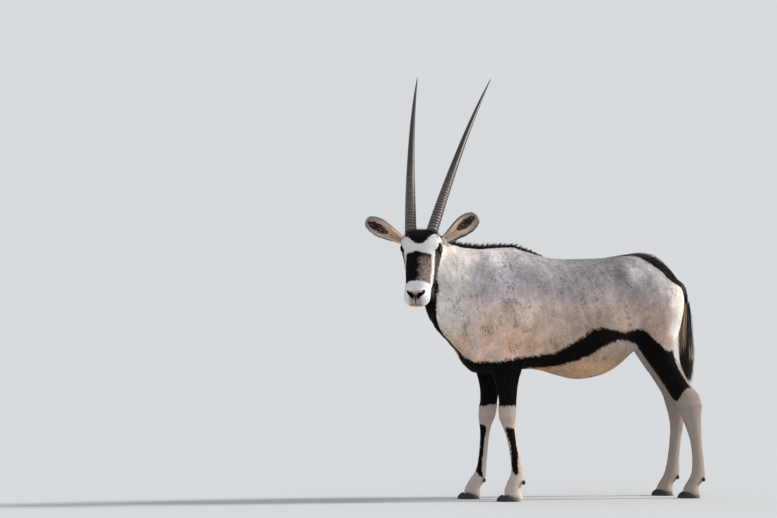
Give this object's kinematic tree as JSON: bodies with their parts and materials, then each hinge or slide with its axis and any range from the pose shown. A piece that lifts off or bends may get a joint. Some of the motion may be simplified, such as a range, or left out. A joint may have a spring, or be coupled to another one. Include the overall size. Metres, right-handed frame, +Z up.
{
  "type": "gemsbok, still life-size museum model",
  "caption": "Life-size still model of a gemsbok standing square with its head turned to its left, long straight horns raised.",
  "frame": {"origin": "bottom centre of the bounding box, on the ground under the animal", "axes": "+Z up, the animal faces -X, its left flank is towards -Y"},
  "size_m": [1.6178, 0.7814, 2.0008],
  "materials": {
    "coat": "matte",
    "dark_coat": "matte",
    "horn": "satin",
    "hoof": "satin",
    "eye": "gloss"
  },
  "bodies": {
    "root": {"torso": "coat", "neck": "coat", "head": "coat", "ear_left": "coat", "ear_right": "coat", "foreleg_left": "coat", "foreleg_right": "coat", "hindleg_left": "coat", "hindleg_right": "coat", "tail": "dark_coat", "eye_left": "eye", "eye_right": "eye", "horn_left": "horn", "horn_right": "horn", "fore_claw_left_inner": "hoof", "fore_dewclaw_left_inner": "hoof", "fore_claw_left_outer": "hoof", "fore_dewclaw_left_outer": "hoof", "fore_claw_right_inner": "hoof", "fore_dewclaw_right_inner": "hoof", "fore_claw_right_outer": "hoof", "fore_dewclaw_right_outer": "hoof", "hind_claw_left_inner": "hoof", "hind_dewclaw_left_inner": "hoof", "hind_claw_left_outer": "hoof", "hind_dewclaw_left_outer": "hoof", "hind_claw_right_inner": "hoof", "hind_dewclaw_right_inner": "hoof", "hind_claw_right_outer": "hoof", "hind_dewclaw_right_outer": "hoof"}
  },
  "joints": []
}
